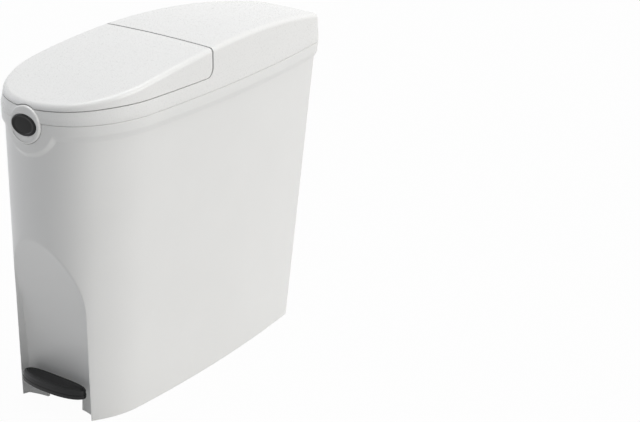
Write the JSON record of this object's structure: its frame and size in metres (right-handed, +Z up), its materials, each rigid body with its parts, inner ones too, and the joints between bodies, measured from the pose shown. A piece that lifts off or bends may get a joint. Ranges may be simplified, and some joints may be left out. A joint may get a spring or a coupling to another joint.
{
  "type": "pedal sanitary container",
  "caption": "Slim floor-standing sanitary bin with a tapered body, a pedal-raised front lid, a lock button, a hinged top unit and a lift-out bucket.",
  "frame": {"origin": "Centre of the bounding box on the floor plane, below the middle of the container.", "axes": "+Z up, +X to the container's left as it faces forward, -Y towards the pedal and the lock button; the container is longest along Y and narrowest along X."},
  "size_m": [0.2006, 0.5766, 0.484],
  "materials": {
    "white_body": "satin white polypropylene",
    "white_top": "satin white polypropylene",
    "white_lid": "satin white polypropylene",
    "white_deck": "matt white polypropylene",
    "black_button": "glossy black",
    "black_pedal": "satin black",
    "black_rubber": "matt rubber",
    "grey_plastic": "matt grey nylon",
    "bucket_grey": "matt grey polypropylene",
    "plated_steel": "zinc plated",
    "spring_steel": "drawn spring wire",
    "screw_steel": "zinc plated"
  },
  "bodies": {
    "container_body": {"outer_body": "white_body", "inner_bucket": "bucket_grey", "bag_ring": "grey_plastic", "rod_guide_lower": "grey_plastic", "rod_guide_upper": "grey_plastic", "guide_screw_lower_front": "screw_steel", "guide_screw_lower_rear": "screw_steel", "guide_screw_upper_front": "screw_steel", "guide_screw_upper_rear": "screw_steel", "pedal_pivot_pin": "plated_steel", "pivot_clip": "plated_steel", "rear_hinge_pin_left": "plated_steel", "rear_hinge_pin_right": "plated_steel", "rod_return_spring": "spring_steel"},
    "pedal": {"pedal_lever": "plated_steel", "pedal_pad": "black_pedal", "pad_screw_1": "screw_steel", "pad_screw_2": "screw_steel"},
    "push_rod_set": {"push_rod": "plated_steel", "push_rod_cap": "grey_plastic", "rod_collar": "plated_steel"},
    "top_unit": {"top_frame": "white_top", "inner_deck": "white_deck", "lid_buffer_left": "black_rubber", "lid_buffer_right": "black_rubber", "deck_screw_front_left": "screw_steel", "deck_screw_front_right": "screw_steel", "deck_screw_rear_left": "screw_steel", "deck_screw_rear_right": "screw_steel", "lid_hinge_rod": "plated_steel", "latch_cover": "grey_plastic", "latch_screw_left": "screw_steel", "latch_screw_right": "screw_steel", "button_spring": "spring_steel", "flap_pin": "plated_steel", "flap_spring": "spring_steel"},
    "front_lid": {"lid": "white_lid"},
    "flap": {"privacy_flap": "white_deck"},
    "lock": {"lock_button": "black_button", "latch_slider": "grey_plastic"}
  },
  "joints": [
    {"name": "pedal_hinge", "type": "hinge", "parent": "container_body", "child": "pedal", "pos_m": [0, -0.16495, 0.0295], "axis": [1, 0, 0], "range_deg": [0, 14], "stiffness_Nm_per_rad": 0.8, "springref_deg": -17.19},
    {"name": "rod_slide", "type": "slide", "parent": "container_body", "child": "push_rod_set", "axis": [0, 0, 1], "range_m": [0, 0.03212], "deforming": ["rod_return_spring"]},
    {"name": "lid_hinge", "type": "hinge", "parent": "top_unit", "child": "front_lid", "pos_m": [0, -0.009, 0.47414], "axis": [-1, 0, 0], "range_deg": [0, 70]},
    {"name": "top_unit_hinge", "type": "hinge", "parent": "container_body", "child": "top_unit", "pos_m": [0, 0.28445, 0.4216], "axis": [-1, 0, 0], "range_deg": [0, 70]},
    {"name": "lock_slide", "type": "slide", "parent": "top_unit", "child": "lock", "axis": [0, 1, 0], "range_m": [0, 0.004], "stiffness_N_per_m": 400, "springref_m": -0.002},
    {"name": "flap_hinge", "type": "hinge", "parent": "top_unit", "child": "flap", "pos_m": [0, -0.0602, 0.4302], "axis": [1, 0, 0], "range_deg": [0, 55], "stiffness_Nm_per_rad": 0.05, "springref_deg": -57.3}
  ],
  "couplings": [
    {"joint": "lid_hinge", "follows": "pedal_hinge", "ratio": 5},
    {"joint": "rod_slide", "follows": "pedal_hinge", "m_per_rad": 0.1314}
  ]
}
